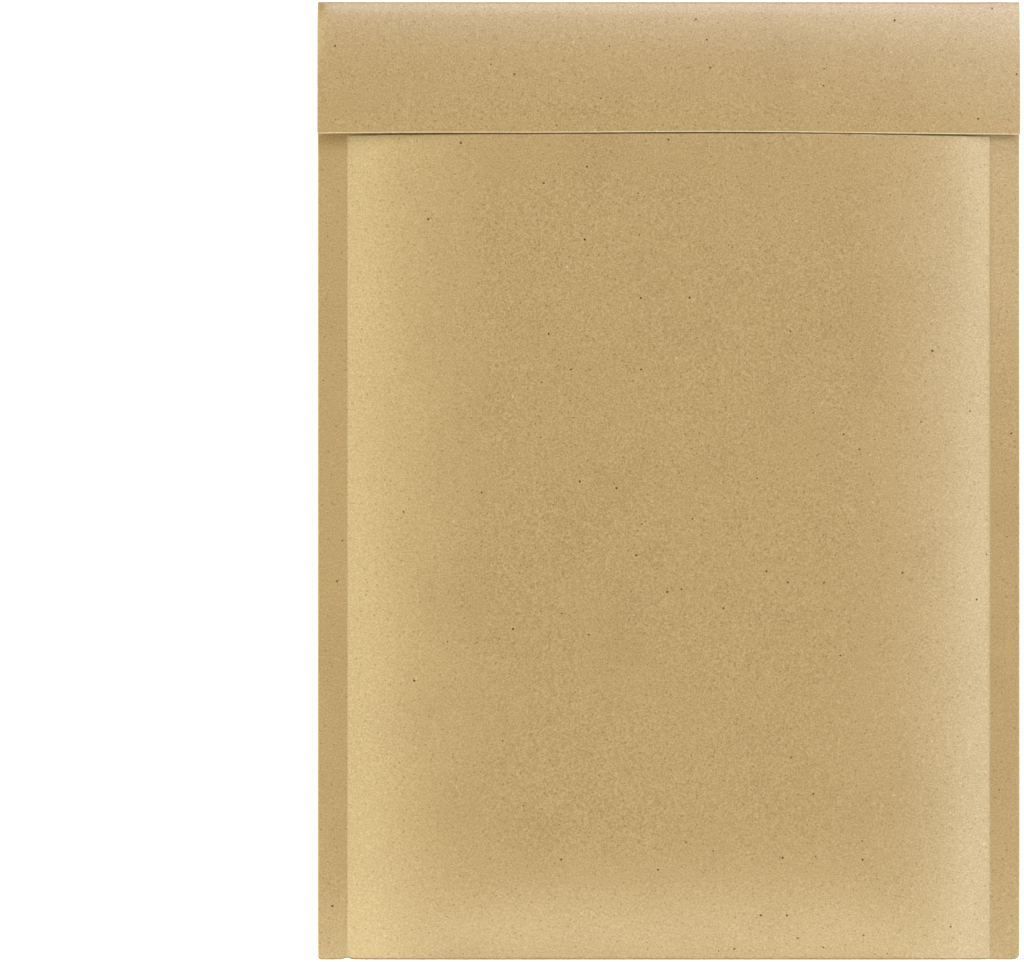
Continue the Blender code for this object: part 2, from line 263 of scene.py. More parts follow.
class MAILER_PG_paper(bpy.types.PropertyGroup):
    """Colours and scale of the kraft paper."""

    kraft: colour("Kraft", "Colour of the paper", "#997F52")
    dark_fibre: colour("Dark fibre", "Colour of the darker fibres", "#82683D")
    pale_fibre: colour("Pale fibre", "Colour of the paler fibres", "#AF9770")
    speck: colour("Speck", "Colour of bark specks", "#3A210E")
    sheen: colour("Sheen", "Tint of the light that the pressed fibres throw back", "#FFF9E1")
    # The cut edge's colour is also painted on the outer face's rim beside each cut edge as a highlight
    # line, and is used for the pale flecks
    cut_edge_and_rim_highlight: colour("Cut edge", "Colour of a cut edge", "#CFBF97")
    grain: length("Grain", "Size of the mottling of the paper's surface", 0.55 * MM)
    cloud: length("Cloud", "Size of the slow clouds in the paper", 24 * MM)
    fibre_length: length("Fibre length", "Length of the fibres that show", 2.4 * MM)
    speck_spacing: length("Speck spacing", "Distance between places for a speck", 6.5 * MM)
    speck_size: length("Speck size", "Width of a large speck", 0.26 * MM)
    shive_spacing: length("Shive spacing", "Distance between places for a faint brown shive", 2.4 * MM)
    shive_size: length("Shive size", "Width of a large shive", 0.24 * MM)
    roughness: share("Roughness", "Roughness of the paper", 0.30)
    ior: FloatProperty(
        name="IOR", description="How much light the glazed face throws back", default=1.75, min=1
    )


class MAILER_PG_closure(bpy.types.PropertyGroup):
    """Colours of the film, the adhesive and its liner."""

    film: colour("Film", "Colour of the bubble film", "#E3E8EA")
    haze: colour("Haze", "Colour of the film where it is milky", "#F1F4F5")
    adhesive: colour("Adhesive", "Colour of the adhesive", "#D9CE9F")
    drawn_line: colour("Drawn line", "Colour of the lines that the coating slot draws", "#E6DFC2")
    adhesive_thickness: length("Adhesive thickness", "Thickness of the adhesive", 0.2 * MM)
    liner_thickness: length("Liner thickness", "Thickness of the release liner", 0.12 * MM)
    play: length("Play", "Distance between the flap, the adhesive and its liner", 0.05 * MM)
    liner: colour("Liner", "Colour of the release liner", "#EEEDE6")
    liner_cloud: colour("Liner cloud", "Colour of the liner where its fibres lie thin", "#DCDBD2")


class MAILER_PG_stage(bpy.types.PropertyGroup):
    """The studio."""

    floor: colour("Floor", "Colour of the floor", "#F4F4F3")
    floor_glow: share("Floor glow", "Light that comes up through the floor", 0.5)
    lens: FloatProperty(name="Lens", description="Focal length of the camera", default=200, unit="CAMERA")
    distance: length("Distance", "Distance of each softbox from the mailer", 1.3)
    left_heading: angle("Left heading", "Heading of the softbox at the left edge", 180)
    left_lean: angle("Left lean", "Angle of that softbox from upright", 32.5)
    left_width: length("Left width", "Width of the softbox at the left edge", 1.4)
    left_depth: length("Left depth", "Depth of the softbox at the left edge", 0.64)
    left_power: power("Left power", "Power of the softbox at the left edge", 9.7)
    left_colour: light_colour("Left colour", "Light of the softbox at the left edge", (1.045, 1.0, 0.76))
    right_heading: angle("Right heading", "Heading of the softbox at the right edge", -5)
    right_lean: angle("Right lean", "Angle of that softbox from upright", 33.9)
    right_width: length("Right width", "Width of the softbox at the right edge", 1.55)
    right_depth: length("Right depth", "Depth of the softbox at the right edge", 0.42)
    right_power: power("Right power", "Power of the softbox at the right edge", 9.3)
    right_colour: light_colour("Right colour", "Light of the softbox at the right edge", (0.96, 1.0, 1.01))
    top_heading: angle("Top heading", "Heading of the softbox past the crease", 73)
    top_lean: angle("Top lean", "Angle of that softbox from upright", 42.5)
    top_width: length("Top width", "Width of the softbox past the crease", 1.4)
    top_depth: length("Top depth", "Depth of the softbox past the crease", 0.65)
    top_power: power("Top power", "Power of the softbox past the crease", 11.8)
    top_colour: light_colour("Top colour", "Light of the softbox past the crease", (0.93, 1.0, 1.28))
    bottom_heading: angle("Bottom heading", "Heading of the softbox past the bottom fold", -94)
    bottom_lean: angle("Bottom lean", "Angle of that softbox from upright", 27.2)
    bottom_width: length("Bottom width", "Width of the softbox past the bottom fold", 1.6)
    bottom_depth: length("Bottom depth", "Depth of the softbox past the bottom fold", 0.38)
    bottom_power: power("Bottom power", "Power of the softbox past the bottom fold", 7.6)
    bottom_colour: light_colour("Bottom colour", "Light of the softbox past the fold", (1.03, 1.0, 0.87))
    ambient: share("Ambient", "Strength of the pale surroundings", 0.08)


def linear(hex_colour):
    """The linear RGBA of an sRGB hex colour."""
    channels = [int(hex_colour[i : i + 2], 16) / 255 for i in (1, 3, 5)]
    return (*[c / 12.92 if c <= 0.04045 else ((c + 0.055) / 1.055) ** 2.4 for c in channels], 1)


# Shape of the folded paper


def swell(part):
    """A soft shoulder: steep where the padding starts and level where it is fullest."""
    return 1 - (1 - np.clip(part, 0, 1)) ** 2


def shoulder(form, inset, reach):
    """A shoulder that starts steeply beside its seam and then climbs slowly."""
    return (1 - form.tuck_share) * swell(inset / reach) + form.tuck_share * swell(inset / form.tuck_reach)


def smooth(part):
    """An even step from 0 to 1 that starts and ends level."""
    part = np.clip(part, 0, 1)
    return part * part * (3 - 2 * part)


def ripple(x, y, seed, longest, shortest):
    """Soft waves of paper, about 1 high: a few plane waves of unlike lengths and directions."""
    rng = np.random.default_rng(seed)
    total = 0
    for _ in range(WAVES):
        wave = math.exp(rng.uniform(math.log(shortest), math.log(longest)))
        heading, phase = rng.uniform(0, 2 * math.pi, 2)
        along = x * math.cos(heading) + y * math.sin(heading)
        total = total + wave / longest * np.sin(2 * math.pi * along / wave + phase)
    return total / WAVES_HEIGHT


def seam_x(form):
    """X of the right seam's inner edge."""
    return HALF_WIDTH - form.seam_width


def fold_y(form):
    """Y where both faces meet the rounding of the bottom fold."""
    return -HALF_HEIGHT + form.fold_radius


def mouth_y(form):
    """Y of the pocket's mouth."""
    return HALF_HEIGHT - form.mouth_drop


def quarter_fold(form):
    """Length of paper from the bottom of the fold to either face."""
    return form.fold_radius * math.pi / 2


def fullness(form, face, y):
    """How much of the full padding a face, front or back, has at y. It falls towards the fold and the
    mouth."""
    fold_share, fold_taper = getattr(form, face + "_fold_share"), getattr(form, face + "_fold_taper")
    mouth_share, mouth_taper = getattr(form, face + "_mouth_share"), getattr(form, face + "_mouth_taper")
    at_fold = fold_share + (1 - fold_share) * swell((y - fold_y(form)) / fold_taper)
    at_mouth = mouth_share + (1 - mouth_share) * shoulder(form, mouth_y(form) - y, mouth_taper)
    return at_fold * at_mouth


def seam_middle(form, x, y):
    """Height of the glued face between a seam's two thicknesses of paper. Both seams drop towards the
    bottom fold, and the right one tilts outward in its upper half."""
    drop = form.seam_drop * (1 - swell((y - fold_y(form)) / form.seam_drop_reach))
    outward = np.clip((x - seam_x(form)) / form.seam_width, 0, 1)
    return form.seam_height - drop - form.seam_tilt * smooth((y - TILT_START) / TILT_REACH) * outward


def eased_inset(form, x):
    """Distance in from the seam, taken up gently over the ease beside it."""
    inset = seam_x(form) - np.abs(x)
    ease = np.where(x > 0, form.right_ease, form.left_ease)
    return np.where(inset < ease, np.clip(inset, 0, None) ** 2 / (2 * ease), inset - ease / 2)


def front_height(form, x, y):
    """Height of the front's outer face: seams, soft shoulders, and slow waves in the fullest part. It
    puffs up just below the flap's free edge, which presses it down."""
    full = fullness(form, "front", y)
    inset = eased_inset(form, x)
    low = seam_middle(form, x, y) + form.paper
    side = (form.body - low) * full * shoulder(form, inset, form.front_shoulder * full)
    below_flap = flap_edge(form, x) - y
    crest = np.clip(below_flap / form.groove_width, 0, 1)
    puff = form.puff * crest * (1 - smooth(below_flap / form.puff_reach))
    puff = puff - form.groove_depth * (1 - crest) * smooth(1 + below_flap / form.groove_reach)
    waves = form.ripple * ripple(x, y, **FRONT_WAVES)
    return low + side + (puff + waves) * swell(inset / form.tuck_reach)


def back_height(form, x, y):
    """Height of the back's outer face, which lies on the table in the middle."""
    full = fullness(form, "back", y)
    high = seam_middle(form, x, y) - form.paper
    return high - high * full * shoulder(form, eased_inset(form, x), form.back_shoulder * full)


def fold_rise(form, x):
    """How far the bottom outline stands above the straight fold: in a notch beside each seam, slighter
    at the right, and at the corners, which are rounded, the right one flatter than the left."""
    radius = np.where(x > 0, form.right_corner, form.left_corner)
    squash = np.where(x > 0, RIGHT_CORNER_SQUASH, 1)
    into_corner = np.clip((np.abs(x) - (HALF_WIDTH - radius)) / radius, 0, 1)
    corner = squash * radius * (1 - np.sqrt(1 - into_corner**2))
    notch = form.notch * np.where(x > 0, RIGHT_NOTCH_SHARE, 1)
    return corner + notch * np.exp(-(((np.abs(x) - seam_x(form)) / form.glue_width) ** 2))


def flap_edge(form, x):
    """Y of the flap's free edge, which is slightly bowed and wanders a little."""
    bow = form.flap_bow * (x / HALF_WIDTH) ** 2
    return HALF_HEIGHT - form.flap_depth - bow + form.flap_wave * ripple(x, 0 * x, **FLAP_EDGE_WAVES)


def flap_underside(form, x, y):
    """Height of the flap's lower face. It rises from the crease to the front's fullest part, lifted by
    the strip. Its ends droop towards the seams, and its left edge rolls down near the crease."""
    inset = mouth_y(form) - y
    slow, quick = swell(inset / form.flap_taper), swell(inset / form.tuck_reach)
    full = form.flap_share + (1 - form.flap_share) * (slow + form.flap_tuck * (quick - slow))
    low = form.seam_height + form.paper
    span = low + (form.body - low) * full
    over_liner = smooth((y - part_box("release_liner")[0].y) / form.flap_ramp + 1)
    lift = form.flap_edge_lift + (form.strip_lift - form.flap_edge_lift) * over_liner
    beyond = np.clip(-inset / form.mouth_drop, 0, 1)
    drop = form.crease_drop * (2 * beyond + beyond**2) / 3
    down = HALF_HEIGHT - y
    from_left, from_right = HALF_WIDTH + x, HALF_WIDTH - x
    right = form.right_droop * np.clip(1 - from_right / form.right_droop_reach, 0, 1) ** 2
    left = form.left_droop * np.clip(1 - from_left / LEFT_DROOP_REACH, 0, 1) ** 2
    roll = form.left_roll * np.clip(1 - from_left / ROLL_WIDTH, 0, 1) ** ROLL_CURVE
    droop = right + left * smooth(down / form.flap_depth) + roll * (1 - smooth(down / ROLL_LENGTH))
    return span + lift - drop - droop


def wrap(form, x, along, depth):
    """Points on the folded sheet, at a depth below its outer face. along is 0 at the bottom of the
    fold and grows by a length of paper, over zero up the front and under zero up the back."""
    quarter = quarter_fold(form)
    rise = fold_rise(form, x)
    up = np.abs(along) - quarter
    ply_y = fold_y(form) + up + rise * (1 - smooth(up / RISE_FADE))
    front_z = front_height(form, x, ply_y) - depth
    back_z = back_height(form, x, ply_y) + depth
    turn = along / form.fold_radius
    fold_start = fold_y(form) + rise
    front, back = front_height(form, x, fold_start), back_height(form, x, fold_start)
    turned_y = fold_start - (form.fold_radius - depth) * np.cos(turn)
    turned_z = (front + back) / 2 + ((front - back) / 2 - depth) * np.sin(turn)
    on_fold = np.abs(along) <= quarter
    y = np.where(on_fold, turned_y, ply_y)
    z = np.where(on_fold, turned_z, np.where(along > 0, front_z, back_z))
    return np.stack(np.broadcast_arrays(x, y, z), -1)


def stations_across(form):
    """X of the lengthwise sections: close together at the cut edges and the start of the shoulders."""
    middle = seam_x(form) - form.front_shoulder
    even = np.arange(MIDDLE_START, middle, MIDDLE_STEP)
    side = middle + form.front_shoulder * (1 - np.linspace(1, 0, SHOULDER_STATIONS) ** SHOULDER_CURVE)
    side = side[side < seam_x(form) - form.right_ease / 2]
    start = seam_x(form) - form.right_ease * EASE_PLACES
    seam = seam_x(form) + (form.seam_width - form.right_corner) * SEAM_PLACES
    corner = HALF_WIDTH - form.right_corner * np.cos(np.linspace(0, math.pi / 2, CORNER_STATIONS)[:-1])
    corner = corner[corner < HALF_WIDTH - RIM_CLEARANCE]
    rim = [HALF_WIDTH - RIM, HALF_WIDTH]
    right = np.concatenate([even, side, start, seam, corner, rim])
    return np.concatenate([-right[::-1], right])


def stations_along(form):
    """Length of paper from the bottom of the fold, up one ply to the mouth: close together at the fold
    and at the groove below the flap's free edge."""
    whole = mouth_y(form) - fold_y(form)
    flap_line = HALF_HEIGHT - form.flap_depth - fold_y(form)
    near_fold = NEAR_FOLD * np.linspace(0, 1, NEAR_FOLD_STATIONS) ** NEAR_FOLD_CURVE
    groove = np.arange(flap_line - GROOVE_ZONE, flap_line + GROOVE_ZONE, GROOVE_STEP)
    plain = np.arange(NEAR_FOLD + PLAIN_STEP, groove[0] - PLAIN_STEP / 2, PLAIN_STEP)
    near_mouth = np.linspace(groove[-1] + PLAIN_STEP / 2, whole, NEAR_MOUTH_STATIONS)
    return quarter_fold(form) + np.concatenate([near_fold, plain, groove, near_mouth])


def sheet_points(form, depth):
    """Every lengthwise section through the paper at a depth below its outer face: down the front
    from the mouth, round the bottom, up the back, round the crease and down to the free edge."""
    x = stations_across(form)[:, None]
    ply = stations_along(form)
    quarter = quarter_fold(form)
    fold = np.linspace(quarter, -quarter, FOLD_STEPS + 1)[1:-1]
    body = wrap(form, x, np.concatenate([ply[::-1], fold, -ply])[None, :], depth)

    crease_y = HALF_HEIGHT - form.crease_radius
    low = back_height(form, x, crease_y)
    high = flap_underside(form, x, crease_y + 0 * x) + form.paper
    turn = np.linspace(-math.pi / 2, math.pi / 2, CREASE_STEPS + 1)[None, :]
    crease = np.stack(
        np.broadcast_arrays(
            x,
            crease_y + (form.crease_radius - depth) * np.cos(turn),
            (low + high) / 2 + ((high - low) / 2 - depth) * np.sin(turn),
        ),
        -1,
    )

    reach = crease_y - flap_edge(form, x)
    even = np.linspace(0, 1, FLAP_STATIONS)[1:-1] * (reach.min() - 2 * RIM) / reach.max()
    y = crease_y - np.append(even, 1)[None, :] * reach
    y = np.concatenate([y[:, :-1], y[:, -1:] + RIM, y[:, -1:]], 1)
    z = flap_underside(form, x, y) + form.paper - depth
    flap = np.stack(np.broadcast_arrays(x, y, z), -1)
    return np.concatenate([body, crease, flap], 1)


def quads(rows):
    """Quads between neighbouring rows of a grid of vertex numbers."""
    rows = np.asarray(rows)
    corners = rows[:-1, :-1], rows[:-1, 1:], rows[1:, 1:], rows[1:, :-1]
    return np.stack([c.ravel() for c in corners], 1).tolist()


def piece_from(name, points, groups, materials, node):
    """An object of vertices and groups of faces, one group for each material, in place of a node."""
    faces = [face for group in groups for face in group]
    index = np.repeat(np.arange(len(groups)), [len(group) for group in groups])
    data = bpy.data.meshes.new(name)
    data.from_pydata(points.reshape(-1, 3).tolist(), [], faces)
    data.polygons.foreach_set("material_index", index.astype(np.int32))
    mesh = bmesh.new()
    mesh.from_mesh(data)
    bmesh.ops.delete(mesh, geom=[v for v in mesh.verts if not v.link_faces], context="VERTS")
    bmesh.ops.recalc_face_normals(mesh, faces=mesh.faces[:])
    mesh.to_mesh(data)
    mesh.free()
    data.shade_smooth()
    data.set_sharp_from_angle(angle=SHARP_ANGLE)
    for material in materials:
        data.materials.append(material)
    piece = bpy.data.objects.new(name, data)
    bpy.context.scene.collection.objects.link(piece)
    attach(piece, "root")
    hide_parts(node)


def build_envelope(form, materials):
    """The folded sheet as one closed body: outer and inner faces, joined at every cut edge. Between
    the seams the pocket is open, and in the seams front and back are one glued thickness."""
    outer_points = sheet_points(form, 0)
    inner_points = sheet_points(form, form.paper)
    count, long = outer_points.shape[:2]
    outer = np.arange(count * long).reshape(count, long)
    inner = outer + count * long
    x = stations_across(form)
    pocket = np.nonzero(np.abs(x) < seam_x(form) - form.glue_width)[0]
    first, last = pocket[0], pocket[-1]
    mouth = 2 * len(stations_along(form)) + FOLD_STEPS - 2
    half = mouth // 2

    # cut gathers the real cut edges and the outer face's facets beside them. On those facets the cut edge's
    # pale material is a painted highlight line
    side_rims_painted_highlight = quads(outer[:2]) + quads(outer[-2:])
    flap_rim_painted_highlight = quads(outer[1:-1, -2:])
    paper = quads(outer[1:-1, :-1]) + quads(inner[:, mouth:]) + quads(inner[first : last + 1, : mouth + 1])
    cut = side_rims_painted_highlight + flap_rim_painted_highlight
    cut += quads(np.stack([outer[:, -1], inner[:, -1]], 1))
    cut += quads(np.stack([outer[pocket, 0], inner[pocket, 0]], 1))
    for rows in (slice(0, first), slice(last + 1, count)):
        cut += quads(np.stack([outer[rows, 0], inner[rows, mouth]], 1))
    for i, beside in ((first, first - 1), (last, last + 1)):
        cut.append([outer[beside, 0], outer[i, 0], inner[i, 0]])
        cut.append([outer[beside, 0], inner[i, 0], inner[i, mouth], inner[beside, mouth]])
    for edge, back in ((outer[0], inner[0]), (outer[-1], inner[-1])):
        cut += quads([edge[mouth:], back[mouth:]])
        cut.append([edge[0], edge[1], back[mouth]])
        cut.append([edge[1], edge[mouth - 1], edge[mouth], back[mouth]])
        cut += quads([edge[1 : half + 1], edge[mouth - 1 : half : -1]])
    for end in (inner[first], inner[last]):
        paper += quads([end[: half + 1], end[mouth:half:-1]])
    points = np.concatenate([outer_points, inner_points])
    piece_from("kraft_paper_envelope", points, [paper, cut], materials, "kraft_envelope")


def build_strip(form, name, node, drop, thickness, material):
    """A thin strip under the flap, a drop below its underside, as long and wide as its solid."""
    low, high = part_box(node)
    x = np.linspace(low.x, high.x, STRIP_COLUMNS)[:, None]
    y = np.linspace(low.y, high.y, STRIP_ROWS)[None, :]
    top = flap_underside(form, x, y) - drop
    points = [np.stack(np.broadcast_arrays(x, y, z), -1) for z in (top, top - thickness)]
    upper = np.arange(top.size).reshape(top.shape)
    lower = upper + top.size
    faces = quads(upper) + quads(lower)
    for edge in (0, -1):
        faces += quads([upper[edge], lower[edge]]) + quads([upper[:, edge], lower[:, edge]])
    piece_from(name, np.concatenate(points), [faces], [material], node)


# Materials


def add_node(tree, kind, links=None, values=None, **settings):
    """A shader node with its settings, its links and its values. Both of these go by an input's name
    or number."""
    made = tree.nodes.new(kind)
    for name, setting in settings.items():
        setattr(made, name, setting)
    for socket, value in (values or {}).items():
        made.inputs[socket].default_value = value
    for socket, source in (links or {}).items():
        tree.links.new(source, made.inputs[socket])
    return made


def new_material(name):
    """A material with its tree and its Principled shader."""
    material = bpy.data.materials.new(name)
    material.use_nodes = True
    tree = material.node_tree
    return material, tree, tree.nodes["Principled BSDF"]


def overlay(tree, base, laid, pattern, start, full, strength=1.0):
    """A colour laid over a base colour as a pattern goes from its start to its full value. The base
    is a colour, or the output of another overlay."""
    ends = {"From Min": start, "From Max": full, "To Max": strength}
    amount = add_node(
        tree, "ShaderNodeMapRange", {"Value": pattern}, ends, interpolation_type="SMOOTHSTEP"
    )
    links, values = {MIX_AMOUNT: amount.outputs["Result"]}, {MIX_OVER: linear(laid)}
    if isinstance(base, str):
        values[MIX_BASE] = linear(base)
    else:
        links[MIX_BASE] = base
    return add_node(tree, "ShaderNodeMix", links, values, data_type="RGBA").outputs[MIX_RESULT]


def streaks(tree, place, size, slimness, heading, shift=0.0):
    """Long thin marks of about one length that lie along a heading, as fibres or drawn lines do."""
    turned = add_node(
        tree,
        "ShaderNodeMapping",
        {"Vector": place},
        {"Rotation": (0, 0, heading), "Location": (shift, shift, 0)},
    )
    narrowed = add_node(
        tree, "ShaderNodeMapping", {"Vector": turned.outputs[0]}, {"Scale": (1, slimness, slimness)}
    )
    marks = {"Scale": 1 / size, "Detail": 2.0}
    return add_node(tree, "ShaderNodeTexNoise", {"Vector": narrowed.outputs[0]}, marks).outputs["Fac"]


def specks(tree, place, spacing, size, few, shift=0.0):
    """Scattered ragged dots: over 0 on a dot and 0 elsewhere, up to 1 at its middle. Each cell of the
    spacing holds a place for one, and a few of them are taken."""
    wander = add_node(tree, "ShaderNodeTexNoise", {"Vector": place}, {"Scale": 0.5 / size, "Detail": 1.0})
    moved = add_node(
        tree,
        "ShaderNodeVectorMath",
        {0: wander.outputs["Color"], 2: place},
        {1: (SPECK_WANDER * size, SPECK_WANDER * size, 0)},
        operation="MULTIPLY_ADD",
    )
    shifted = add_node(
        tree, "ShaderNodeMapping", {"Vector": moved.outputs[0]}, {"Location": (shift, shift, 0)}
    )
    cells = add_node(
        tree,
        "ShaderNodeTexVoronoi",
        {"Vector": shifted.outputs[0]},
        {"Scale": 1 / spacing},
        voronoi_dimensions="2D",
    )
    # Blue is the lot that says which cells have a dot and how large it is. Red and green are its place
    lot = add_node(tree, "ShaderNodeSeparateColor", {"Color": cells.outputs["Color"]}).outputs["Blue"]
    taken = add_node(tree, "ShaderNodeMath", {0: lot}, {1: few}, operation="LESS_THAN")
    sizes = {1: SPECK_GROWTH * size / (spacing * few), 2: SPECK_LEAST * size / spacing}
    reach = add_node(tree, "ShaderNodeMath", {0: lot}, sizes, operation="MULTIPLY_ADD")
    off_middle = {0: cells.outputs["Distance"], 1: reach.outputs[0]}
    inside = add_node(tree, "ShaderNodeMath", off_middle, operation="DIVIDE")
    dot = add_node(
        tree, "ShaderNodeMath", {1: inside.outputs[0]}, {0: SPECK_END}, operation="SUBTRACT", use_clamp=True
    )
    both = {0: dot.outputs[0], 1: taken.outputs[0]}
    return add_node(tree, "ShaderNodeMath", both, operation="MULTIPLY").outputs[0]


def kraft_paper(paper):
    """Uncoated kraft paper of unbleached pine pulp, machine glazed on its outer face. The eye sees a
    fine brown mottle of pressed fibres and shives, a few bark specks and pale flecks, and a sheen where
    it tilts towards a light. Real fibres are 0.03 mm wide, too fine to show, so they are drawn as wide
    as 0.3 mm. Paper has an IOR of about 1.5; the glazed face throws back more, as 1.75 does."""
    material, tree, surface = new_material("uncoated_kraft_paper")
    place = add_node(tree, "ShaderNodeTexCoord").outputs["Object"]
    fine = {"Scale": 1 / paper.grain, "Detail": 3.0, "Roughness": 0.6}
    grain = add_node(tree, "ShaderNodeTexNoise", {"Vector": place}, fine).outputs["Fac"]
    slow = {"Scale": 1 / paper.cloud, "Detail": 3.0}
    cloud = add_node(tree, "ShaderNodeTexNoise", {"Vector": place}, slow).outputs["Fac"]
    one_way = streaks(tree, place, paper.fibre_length, FIBRE_SLIMNESS, FIBRES_ONE_WAY, shift=0.3)
    other_way = streaks(tree, place, paper.fibre_length, FIBRE_SLIMNESS, FIBRES_OTHER_WAY, shift=0.7)
    fibre = add_node(tree, "ShaderNodeMath", {0: one_way, 1: other_way}, operation="MAXIMUM").outputs[0]
    bark = specks(tree, place, paper.speck_spacing, paper.speck_size, few=0.08)
    shive = specks(tree, place, paper.shive_spacing, paper.shive_size, few=0.4, shift=0.61)
    fleck = specks(tree, place, FLECK_SPREAD * paper.speck_spacing, paper.speck_size, few=0.07, shift=0.37)

    base = overlay(tree, paper.kraft, paper.dark_fibre, cloud, start=0.55, full=0.3, strength=0.2)
    base = overlay(tree, base, paper.dark_fibre, grain, start=0.52, full=0.34, strength=0.62)
    base = overlay(tree, base, paper.pale_fibre, grain, start=0.50, full=0.66, strength=0.62)
    base = overlay(tree, base, paper.pale_fibre, fibre, start=0.58, full=0.76, strength=0.5)
    base = overlay(tree, base, paper.dark_fibre, shive, start=0.0, full=0.8)
    base = overlay(tree, base, paper.speck, bark, start=0.0, full=0.8)
    base = overlay(tree, base, paper.cut_edge_and_rim_highlight, fleck, start=0.0, full=1.0, strength=0.4)
    tree.links.new(base, surface.inputs["Base Color"])

    relief = add_node(tree, "ShaderNodeMath", {0: grain, 1: fibre}, operation="ADD").outputs[0]
    bump = add_node(tree, "ShaderNodeBump", {"Height": relief}, {"Strength": 0.5, "Distance": 0.05 * MM})
    tree.links.new(bump.outputs[0], surface.inputs["Normal"])
    # Bark is dull, so the sheen goes where a speck is
    dull = {1: BARK_ROUGHNESS - paper.roughness, 2: paper.roughness}
    rough = add_node(tree, "ShaderNodeMath", {0: bark}, dull, operation="MULTIPLY_ADD", use_clamp=True)
    tree.links.new(rough.outputs[0], surface.inputs["Roughness"])
    surface.inputs["IOR"].default_value = paper.ior
    surface.inputs["Specular Tint"].default_value = linear(paper.sheen)
    return material


def cut_edge_and_painted_rim(paper):
    """The cut edge of kraft paper: torn fibre ends, paler and rougher than the pressed face. It also
    covers the outer face's rim beside each cut edge, where its pale colour is a painted highlight line.
    """
    material, tree, surface = new_material("cut_kraft_edge")
    place = add_node(tree, "ShaderNodeTexCoord").outputs["Object"]
    torn = {"Scale": 2 / paper.grain, "Detail": 2.0}
    ends = add_node(tree, "ShaderNodeTexNoise", {"Vector": place}, torn).outputs["Fac"]
    base = overlay(tree, paper.pale_fibre, paper.cut_edge_and_rim_highlight, ends, start=0.3, full=0.7)
    tree.links.new(base, surface.inputs["Base Color"])
    surface.inputs["Roughness"].default_value = 0.9
    return material


def bubble_film(look):
    """Low-density polyethylene, cast and vacuum formed: a glossy, slightly milky clear film whose haze
    drifts over the width of a bubble."""
    material, tree, surface = new_material("formed_polyethylene_film")
    place = add_node(tree, "ShaderNodeTexCoord").outputs["Object"]
    drift = {"Scale": 1 / BUBBLE_WIDTH, "Detail": 2.0}
    haze = add_node(tree, "ShaderNodeTexNoise", {"Vector": place}, drift).outputs["Fac"]
    base = overlay(tree, look.film, look.haze, haze, start=0.3, full=0.7)
    tree.links.new(base, surface.inputs["Base Color"])
    bump = add_node(tree, "ShaderNodeBump", {"Height": haze}, {"Strength": 0.2, "Distance": 0.1 * MM})
    tree.links.new(bump.outputs[0], surface.inputs["Normal"])
    surface.inputs["Roughness"].default_value = 0.18
    surface.inputs["IOR"].default_value = 1.51
    return material


def hot_melt(look):
    """Pressure-sensitive hot-melt adhesive, slot coated: amber, smooth and wet looking, with faint
    lines that the slot draws about a millimetre apart."""
    material, tree, surface = new_material("hot_melt_adhesive")
    place = add_node(tree, "ShaderNodeTexCoord").outputs["Object"]
    drawn = streaks(tree, place, LINE_LENGTH, LINE_SLIMNESS, heading=0)
    base = overlay(tree, look.adhesive, look.drawn_line, drawn, start=0.3, full=0.7)
    tree.links.new(base, surface.inputs["Base Color"])
    surface.inputs["Roughness"].default_value = 0.25
    surface.inputs["IOR"].default_value = 1.5
    return material


def release_paper(look):
    """Glassine release liner, supercalendered and silicone coated: dense white paper with a satin face
    and a cloudy formation a few millimetres wide."""
    material, tree, surface = new_material("silicone_release_paper")
    place = add_node(tree, "ShaderNodeTexCoord").outputs["Object"]
    clouds = {"Scale": 1 / CLOUD_WIDTH, "Detail": 4.0}
    formation = add_node(tree, "ShaderNodeTexNoise", {"Vector": place}, clouds).outputs["Fac"]
    base = overlay(tree, look.liner, look.liner_cloud, formation, start=0.3, full=0.7)
    tree.links.new(base, surface.inputs["Base Color"])
    surface.inputs["Roughness"].default_value = 0.32
    surface.inputs["IOR"].default_value = 1.45
    return material


# Stage


def softbox(side, stage):
    """A softbox that faces the mailer from its heading, leaning by its own angle from upright."""
    light = bpy.data.lights.new(side + "_softbox", "AREA")
    light.shape = "RECTANGLE"
    light.size = getattr(stage, side + "_width")
    light.size_y = getattr(stage, side + "_depth")
    light.energy = getattr(stage, side + "_power")
    light.color = getattr(stage, side + "_colour")
    lamp = bpy.data.objects.new(light.name, light)
    heading, lean = getattr(stage, side + "_heading"), getattr(stage, side + "_lean")
    flat = stage.distance * math.sin(lean)
    lamp.location = flat * math.cos(heading), flat * math.sin(heading), stage.distance * math.cos(lean)
    lamp.rotation_euler = lamp.location.to_track_quat("Z", "Y").to_euler()
    bpy.context.scene.collection.objects.link(lamp)


def build_floor(stage):
    """A wide light table of opal acrylic just under the mailer: matt, white and lit a little from below."""
    bpy.ops.mesh.primitive_plane_add(size=FLOOR_WIDTH, location=(0, 0, -FLOOR_GAP))
    floor = bpy.context.object
    floor.name = "floor"
    material, _, surface = new_material("opal_acrylic_light_table")
    surface.inputs["Base Color"].default_value = linear(stage.floor)
    surface.inputs["Roughness"].default_value = 0.9
    surface.inputs["Emission Color"].default_value = (1, 1, 1, 1)
    surface.inputs["Emission Strength"].default_value = stage.floor_glow
    floor.data.materials.append(material)


